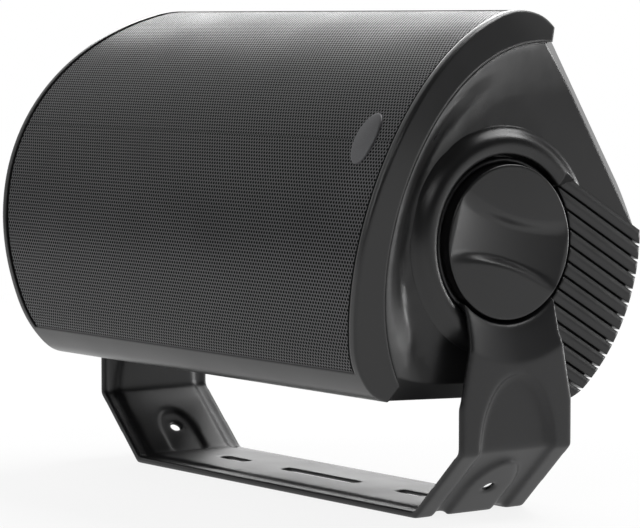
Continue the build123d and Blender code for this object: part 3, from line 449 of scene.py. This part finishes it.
def addPiece(name, points, faces, finishName, crease=40.0):
    # a smooth mesh from points in mm in the speaker's own frame
    mesh = bpy.data.meshes.new(name)
    mesh.from_pydata([leanMatrix @ (Vector(point) * mm) for point in points], [], faces)
    mesh.materials.append(materials[finishName])
    mesh.shade_smooth()
    mesh.set_sharp_from_angle(angle=math.radians(crease))
    piece = bpy.data.objects.new(name, mesh)
    scene.collection.objects.link(piece)
    return piece


def ringFaces(rings, spokes, firstPole, lastPole):
    # quads between rings of points, and fans onto the poles where there are any
    faces = []
    for ring in range(rings - 1):
        for spoke in range(spokes):
            beside = (spoke + 1) % spokes
            near, far = ring * spokes, (ring + 1) * spokes
            faces.append((near + spoke, far + spoke, far + beside, near + beside))
    last = (rings - 1) * spokes
    for spoke in range(spokes):
        beside = (spoke + 1) % spokes
        if firstPole is not None:
            faces.append((firstPole, spoke, beside))
        if lastPole is not None:
            faces.append((last + beside, last + spoke, lastPole))
    return faces


def easeIn(value, low, high):
    share = min(max((value - low) / (high - low), 0.0), 1.0)
    return share * share * (3 - 2 * share)


# Clamp knobs: a disc with a slanting finger valley between two rounded lobes

knob = {
    "nodes": {"right_knob": 1, "left_knob": -1},
    "radius": 36.6,
    "back": 139.7,
    "face": 147.7,
    "rimRound": 1.0,
    "rimSteps": 5,
    "valleyAngle": 14.8,
    "valleyWaist": 11.6,
    "valleyFlare": 110.0,
    "valleyDepth": 4.2,
    "valleyDish": 138.0,
    "wall": (-0.9, 4.6),      # where the lobe starts to fall and where it meets the floor, from the lobe's edge
    "boreRadius": 4.0,
    "boreDepth": 3.0,
    "rings": 60,
    "spokes": 144,
}


def knobTop(y, z):
    slant = math.radians(knob["valleyAngle"])
    along = y * math.cos(slant) + z * math.sin(slant)
    across = abs(z * math.cos(slant) - y * math.sin(slant))
    inside = math.hypot(along, knob["valleyFlare"] + knob["valleyWaist"] - across) - knob["valleyFlare"]
    lift = knob["valleyDish"] - math.sqrt(knob["valleyDish"] ** 2 - along ** 2)
    return knob["face"] - max(knob["valleyDepth"] - lift, 0.0) * easeIn(inside, *knob["wall"])


def makeKnobs():
    flat = knob["radius"] - knob["rimRound"]
    section = [(flat * (step + 1) / knob["rings"], None) for step in range(knob["rings"])]
    for step in range(1, knob["rimSteps"] + 1):
        turn = math.radians(90 * step / knob["rimSteps"])
        section.append((flat + knob["rimRound"] * math.sin(turn),
                        knob["face"] - knob["rimRound"] * (1 - math.cos(turn))))
    section += [(knob["radius"], knob["back"]), (knob["boreRadius"], knob["back"]),
                (knob["boreRadius"], knob["back"] + knob["boreDepth"])]
    for node, side in knob["nodes"].items():
        points = []
        for radius, height in section:
            for spoke in range(knob["spokes"]):
                turn = 2 * math.pi * spoke / knob["spokes"]
                y, z = radius * math.cos(turn), radius * math.sin(turn)
                x = knobTop(y, z) if height is None else height
                points.append((side * x, side * y, z))
        centre = len(points)
        points.append((side * knobTop(0, 0), 0, 0))
        points.append((side * (knob["back"] + knob["boreDepth"]), 0, 0))
        faces = ringFaces(len(section), knob["spokes"], centre, centre + 1)
        piece = addPiece(node.split("_")[0] + "Knob", points, faces, "knobAbs")
        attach(piece, frame["nodes"][node]["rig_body"])
        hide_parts(node)


makeKnobs()
print("knobs made")


# Badge: a bare oval plate, raised, with a rounded edge

badge = {
    "x": 136.0,
    "up": 5.0,
    "halfLength": 13.25,
    "halfWidth": 7.4,
    "sink": 0.8,
    "rise": (0.34, 0.58),      # at the field's edge and in its middle
    "fieldEdge": 0.91,
    "fieldSteps": 10,
    "edgeSteps": 5,
    "spokes": 96,
}


def badgePoint(share, turn, height):
    x = badge["x"] + badge["halfWidth"] * share * math.cos(turn)
    up = badge["up"] + badge["halfLength"] * share * math.sin(turn)
    radius = front["noseRadius"] + height
    rise = up - front["lift"]
    forward = front["noseFront"] - front["noseRadius"] + math.sqrt(radius ** 2 - rise ** 2)
    return (x, -forward, up)


def makeBadge():
    edge, low, high = badge["fieldEdge"], *badge["rise"]
    steps = badge["fieldSteps"]
    section = [(edge * step / steps, high + (low - high) * (step / steps) ** 2) for step in range(1, steps + 1)]
    for step in range(1, badge["edgeSteps"] + 1):
        turn = math.radians(90 * step / badge["edgeSteps"])
        section.append((edge + (1 - edge) * math.sin(turn), low - (low + badge["sink"] / 2) * (1 - math.cos(turn))))
    section.append((1.0, -badge["sink"]))
    points = [badgePoint(share, 2 * math.pi * spoke / badge["spokes"], height)
              for share, height in section for spoke in range(badge["spokes"])]
    points += [badgePoint(0, 0, high), badgePoint(0, 0, -badge["sink"])]
    faces = ringFaces(len(section), badge["spokes"], len(points) - 2, len(points) - 1)
    piece = addPiece("badgePlate", points, faces, "anodisedPlate")
    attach(piece, "speaker")
    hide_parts("badge_plate")


makeBadge()
print("badge made")


# Collar: the soft bulge around each knob, which runs out where the ribs begin

collar = {
    "floor": 141.0,
    "rise": 5.15,
    "inner": 41.1,
    "outer": 54.6,
    "crest": 45.8,
    "throat": 138.0,
    "lipDrop": 0.3,       # how far the lip beside the knob falls, as a share of the rise
    "lipRound": 2.5,
    "skirtRound": 1.3,
    "steps": 28,
    "spokes": 160,
}


def collarTop(radius):
    if radius < collar["crest"]:
        drop = (collar["crest"] - radius) / (collar["crest"] - collar["inner"])
        return collar["rise"] * (1 - collar["lipDrop"] * drop ** collar["lipRound"])
    fall = (radius - collar["crest"]) / (collar["outer"] - collar["crest"])
    return collar["rise"] * (0.5 + 0.5 * math.cos(math.pi * fall ** collar["skirtRound"]))


def collarEnd(radius):
    # the ribs' field cuts the collar off, straight above and below and across
    above = math.asin(min(ribField["band"] / radius, 1.0))
    return min(above, math.acos(ribField["start"] / radius))


def makeCollars():
    reach = collar["outer"] - collar["inner"]
    section = []
    for step in range(collar["steps"]):
        radius = collar["outer"] - reach * step / (collar["steps"] - 1)
        section.append((radius, collar["floor"] + collarTop(radius)))
    section += [(collar["inner"], collar["throat"]), (collar["outer"], collar["throat"])]
    row = len(section)
    for side, name in ((1, "rightCollar"), (-1, "leftCollar")):
        points, faces = [], []
        for spoke in range(collar["spokes"]):
            share = spoke / (collar["spokes"] - 1)
            for radius, x in section:
                end = collarEnd(radius)
                turn = end + (2 * math.pi - 2 * end) * share
                points.append((side * x, radius * math.cos(turn), side * radius * math.sin(turn)))
        for spoke in range(collar["spokes"] - 1):
            for step in range(row):
                beside = (step + 1) % row
                near, far = spoke * row, (spoke + 1) * row
                faces.append((near + step, far + step, far + beside, near + beside))
        faces.append(tuple(range(row)))
        faces.append(tuple(reversed(range((collar["spokes"] - 1) * row, collar["spokes"] * row))))
        piece = addPiece(name, points, faces, "mouldedAbs")
        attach(piece, "speaker")


makeCollars()
print("collars made")


# Bracket: pressed from one sheet, so its bends, panels and edges are round

pressed = {"node": "bracket", "cell": 0.8, "smoothing": 0.5, "rounds": 30, "keep": 0.35}


def makeBracket():
    # a copy is cut into small even cells, and smoothing rounds it as pressing does
    mesh = frame["nodes"][pressed["node"]].data.copy()
    piece = bpy.data.objects.new("bracketPressing", mesh)
    scene.collection.objects.link(piece)
    cells = piece.modifiers.new("cells", "REMESH")
    cells.mode = "VOXEL"
    cells.voxel_size = pressed["cell"] * mm
    cells.use_smooth_shade = True
    soft = piece.modifiers.new("soft", "SMOOTH")
    soft.factor = pressed["smoothing"]
    soft.iterations = pressed["rounds"]
    fewer = piece.modifiers.new("fewer", "DECIMATE")
    fewer.ratio = pressed["keep"]
    flatten(piece)
    piece.data.materials.clear()
    piece.data.materials.append(materials["powderCoat"])
    piece.data.shade_smooth()
    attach(piece, "bracket")
    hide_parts(pressed["node"])
    print("bracket pressed:", len(piece.data.polygons), "faces")


makeBracket()


# Perforated skin over the grille: round holes in staggered rows, wrapped on the front's arcs

skin = {
    "pitch": 2.05,        # along a row
    "rowStep": 1.67,
    "holeShare": 0.66,    # of the cell's width
    "columns": 156,
    "rows": 67,           # in each half
    "edge": 110.4,        # arc length from the middle to the long edge
    # the gap looks dark because the painted shade of the grille's node shows through it
    "endInset": 5.8,      # leaves the dark gap beside the bezel
    "sink": 0.5,
    "scrap": 0.001,       # faces smaller than this, in square mm, are what the trim squashed
    "weld": 0.02,
}


def makeSkinTree():
    floats = ["Pitch", "Row Step", "Hole Share", "Middle", "Edge", "Nose Radius", "Nose Turn", "Nose Centre",
              "Shoulder Radius", "Round Gap", "End Radius", "End Centre", "Front Lift", "Tilt", "Axis Height"]
    sizes = {label: "NodeSocketFloat" for label in floats}
    sizes.update({"Columns": "NodeSocketInt", "Rows": "NodeSocketInt", "Finish": "NodeSocketMaterial"})
    tree = newTree("perforatedSkin", sizes)
    given = addNode(tree, "NodeGroupInput").outputs

    # one cell: a hexagon with its middle cut out
    corner = addNode(tree, "ShaderNodeMath", {0: given["Pitch"], 1: math.sqrt(3)}, operation="DIVIDE")
    plate = addNode(tree, "GeometryNodeMeshCircle", {"Vertices": 6, "Radius": corner.outputs[0]}, fill_type="NGON")
    cut = addNode(tree, "GeometryNodeExtrudeMesh", {"Mesh": plate.outputs[0], "Offset Scale": 0.0}, mode="FACES")
    hole = addNode(tree, "GeometryNodeScaleElements", {0: cut.outputs["Mesh"], 1: cut.outputs["Top"],
                                                       2: given["Hole Share"]}, domain="FACE")
    ring = addNode(tree, "GeometryNodeDeleteGeometry", {0: hole.outputs[0], 1: cut.outputs["Top"]}, domain="FACE")
    ideal = addNode(tree, "ShaderNodeMath", {0: given["Pitch"], 1: math.sqrt(3) / 2}, operation="MULTIPLY")
    squeeze = addNode(tree, "ShaderNodeMath", {0: given["Row Step"], 1: ideal.outputs[0]}, operation="DIVIDE")
    shape = addNode(tree, "ShaderNodeCombineXYZ", {0: 1.0, 1: squeeze.outputs[0], 2: 1.0})
    turned = addNode(tree, "GeometryNodeTransform", {0: ring.outputs[0], "Rotation": (0, 0, math.radians(30))})
    cell = addNode(tree, "GeometryNodeTransform", {0: turned.outputs[0], "Scale": shape.outputs[0]})

    # the flat sheet: a grid of points with every other row shifted by half a pitch
    lastColumn = addNode(tree, "ShaderNodeMath", {0: given["Columns"], 1: 1.0}, operation="SUBTRACT")
    lastRow = addNode(tree, "ShaderNodeMath", {0: given["Rows"], 1: 1.0}, operation="SUBTRACT")
    width = addNode(tree, "ShaderNodeMath", {0: lastColumn.outputs[0], 1: given["Pitch"]}, operation="MULTIPLY")
    height = addNode(tree, "ShaderNodeMath", {0: lastRow.outputs[0], 1: given["Row Step"]}, operation="MULTIPLY")
    grid = addNode(tree, "GeometryNodeMeshGrid", {0: width.outputs[0], 1: height.outputs[0],
                                                  2: given["Columns"], 3: given["Rows"]})
    index = addNode(tree, "GeometryNodeInputIndex")
    row = addNode(tree, "ShaderNodeMath", {0: index.outputs[0], 1: given["Rows"]}, operation="MODULO")
    odd = addNode(tree, "ShaderNodeMath", {0: row.outputs[0], 1: 2.0}, operation="MODULO")
    halfPitch = addNode(tree, "ShaderNodeMath", {0: given["Pitch"], 1: 0.5}, operation="MULTIPLY")
    shift = addNode(tree, "ShaderNodeMath", {0: odd.outputs[0], 1: halfPitch.outputs[0]}, operation="MULTIPLY")
    offset = addNode(tree, "ShaderNodeCombineXYZ", {0: shift.outputs[0], 1: given["Middle"]})
    spots = addNode(tree, "GeometryNodeSetPosition", {0: grid.outputs[0], "Offset": offset.outputs[0]})
    cells = addNode(tree, "GeometryNodeInstanceOnPoints", {"Points": spots.outputs[0], "Instance": cell.outputs[0]})
    sheet = addNode(tree, "GeometryNodeRealizeInstances", {0: cells.outputs[0]})

    # wrap: arc length on the nose first, then on the tighter shoulder
    flat = addNode(tree, "ShaderNodeSeparateXYZ", {0: addNode(tree, "GeometryNodeInputPosition").outputs[0]})
    side = addNode(tree, "ShaderNodeMath", {0: flat.outputs[1]}, operation="SIGN")
    reach = addNode(tree, "ShaderNodeMath", {0: flat.outputs[1]}, operation="ABSOLUTE")
    arc = addNode(tree, "ShaderNodeMath", {0: reach.outputs[0], 1: given["Edge"]}, operation="MINIMUM")
    turn = addNode(tree, "ShaderNodeMath", {0: arc.outputs[0], 1: given["Nose Radius"]}, operation="DIVIDE")
    noseTurn = addNode(tree, "ShaderNodeMath", {0: turn.outputs[0], 1: given["Nose Turn"]}, operation="MINIMUM")
    onNose = addNode(tree, "ShaderNodeMath", {0: noseTurn.outputs[0], 1: given["Nose Radius"]},
                     operation="MULTIPLY")
    past = addNode(tree, "ShaderNodeMath", {0: arc.outputs[0], 1: onNose.outputs[0]}, operation="SUBTRACT")
    extra = addNode(tree, "ShaderNodeMath", {0: past.outputs[0], 1: given["Shoulder Radius"]}, operation="DIVIDE")
    whole = addNode(tree, "ShaderNodeMath", {0: noseTurn.outputs[0], 1: extra.outputs[0]}, operation="ADD")
    noseCos = addNode(tree, "ShaderNodeMath", {0: noseTurn.outputs[0]}, operation="COSINE")
    noseSin = addNode(tree, "ShaderNodeMath", {0: noseTurn.outputs[0]}, operation="SINE")
    wholeCos = addNode(tree, "ShaderNodeMath", {0: whole.outputs[0]}, operation="COSINE")
    wholeSin = addNode(tree, "ShaderNodeMath", {0: whole.outputs[0]}, operation="SINE")
    gapCos = addNode(tree, "ShaderNodeMath", {0: given["Round Gap"], 1: noseCos.outputs[0],
                                              2: given["Nose Centre"]}, operation="MULTIPLY_ADD")
    gapSin = addNode(tree, "ShaderNodeMath", {0: given["Round Gap"], 1: noseSin.outputs[0]}, operation="MULTIPLY")
    forward = addNode(tree, "ShaderNodeMath", {0: given["Shoulder Radius"], 1: wholeCos.outputs[0],
                                               2: gapCos.outputs[0]}, operation="MULTIPLY_ADD")
    rise = addNode(tree, "ShaderNodeMath", {0: given["Shoulder Radius"], 1: wholeSin.outputs[0],
                                            2: gapSin.outputs[0]}, operation="MULTIPLY_ADD")
    up = addNode(tree, "ShaderNodeMath", {0: rise.outputs[0], 1: side.outputs[0], 2: given["Front Lift"]},
                 operation="MULTIPLY_ADD")

    # the ends are trimmed on the barrel curve
    square = addNode(tree, "ShaderNodeMath", {0: given["End Radius"], 1: given["End Radius"]}, operation="MULTIPLY")
    riseSquare = addNode(tree, "ShaderNodeMath", {0: rise.outputs[0], 1: rise.outputs[0]}, operation="MULTIPLY")
    left = addNode(tree, "ShaderNodeMath", {0: square.outputs[0], 1: riseSquare.outputs[0]}, operation="SUBTRACT")
    bulge = addNode(tree, "ShaderNodeMath", {0: left.outputs[0]}, operation="SQRT")
    end = addNode(tree, "ShaderNodeMath", {0: bulge.outputs[0], 1: given["End Centre"]}, operation="ADD")
    minus = addNode(tree, "ShaderNodeMath", {0: end.outputs[0], 1: -1.0}, operation="MULTIPLY")
    inRight = addNode(tree, "ShaderNodeMath", {0: flat.outputs[0], 1: end.outputs[0]}, operation="MINIMUM")
    along = addNode(tree, "ShaderNodeMath", {0: inRight.outputs[0], 1: minus.outputs[0]}, operation="MAXIMUM")
    out = addNode(tree, "ShaderNodeMath", {0: forward.outputs[0], 1: -1.0}, operation="MULTIPLY")
    place = addNode(tree, "ShaderNodeCombineXYZ", {0: along.outputs[0], 1: out.outputs[0], 2: up.outputs[0]})
    wrapped = addNode(tree, "GeometryNodeSetPosition", {0: sheet.outputs[0], "Position": place.outputs[0]})

    # what the trim squashed flat goes, then the cells are welded
    area = addNode(tree, "GeometryNodeInputMeshFaceArea")
    scrap = addNode(tree, "FunctionNodeCompare", {0: area.outputs[0], 1: skin["scrap"] * mm * mm},
                    operation="LESS_THAN")
    trimmed = addNode(tree, "GeometryNodeDeleteGeometry", {0: wrapped.outputs[0], 1: scrap.outputs[0]},
                      domain="FACE")
    welded = addNode(tree, "GeometryNodeMergeByDistance", {0: trimmed.outputs[0], "Distance": skin["weld"] * mm})
    smooth = addNode(tree, "GeometryNodeSetShadeSmooth", {0: welded.outputs[0]})
    spin = addNode(tree, "ShaderNodeCombineXYZ", {0: given["Tilt"]})
    lift = addNode(tree, "ShaderNodeCombineXYZ", {2: given["Axis Height"]})
    leant = addNode(tree, "GeometryNodeTransform", {0: smooth.outputs[0], "Translation": lift.outputs[0],
                                                    "Rotation": spin.outputs[0]})
    coat = addNode(tree, "GeometryNodeSetMaterial", {0: leant.outputs[0], "Material": given["Finish"]})
    addNode(tree, "NodeGroupOutput", {0: coat.outputs[0]})
    return tree


def makeSkin():
    tree = makeSkinTree()
    values = {
        "Pitch": skin["pitch"] * mm,
        "Row Step": skin["rowStep"] * mm,
        "Hole Share": skin["holeShare"],
        "Edge": skin["edge"] * mm,
        "Nose Radius": (front["noseRadius"] - skin["sink"]) * mm,
        "Nose Turn": math.asin(front["noseHalf"] / front["noseRadius"]),
        "Nose Centre": (front["noseFront"] - front["noseRadius"]) * mm,
        "Shoulder Radius": (front["shoulderRadius"] - skin["sink"]) * mm,
        "Round Gap": (front["noseRadius"] - front["shoulderRadius"]) * mm,
        "End Radius": (front["endRadius"] - skin["endInset"]) * mm,
        "End Centre": (front["halfLength"] - front["endRadius"]) * mm,
        "Front Lift": front["lift"] * mm,
        "Tilt": math.radians(-lean["tilt"]),
        "Axis Height": lean["axisHeight"] * mm,
        "Columns": skin["columns"],
        "Rows": skin["rows"],
        "Finish": materials["grilleCoat"],
    }
    for name, way in (("grilleSkinUpper", 1), ("grilleSkinLower", -1)):
        values["Middle"] = way * skin["rows"] / 2 * skin["rowStep"] * mm
        piece = runTree(name, tree, values)
        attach(piece, "speaker")
        print(name, len(piece.data.polygons), "faces")


makeSkin()
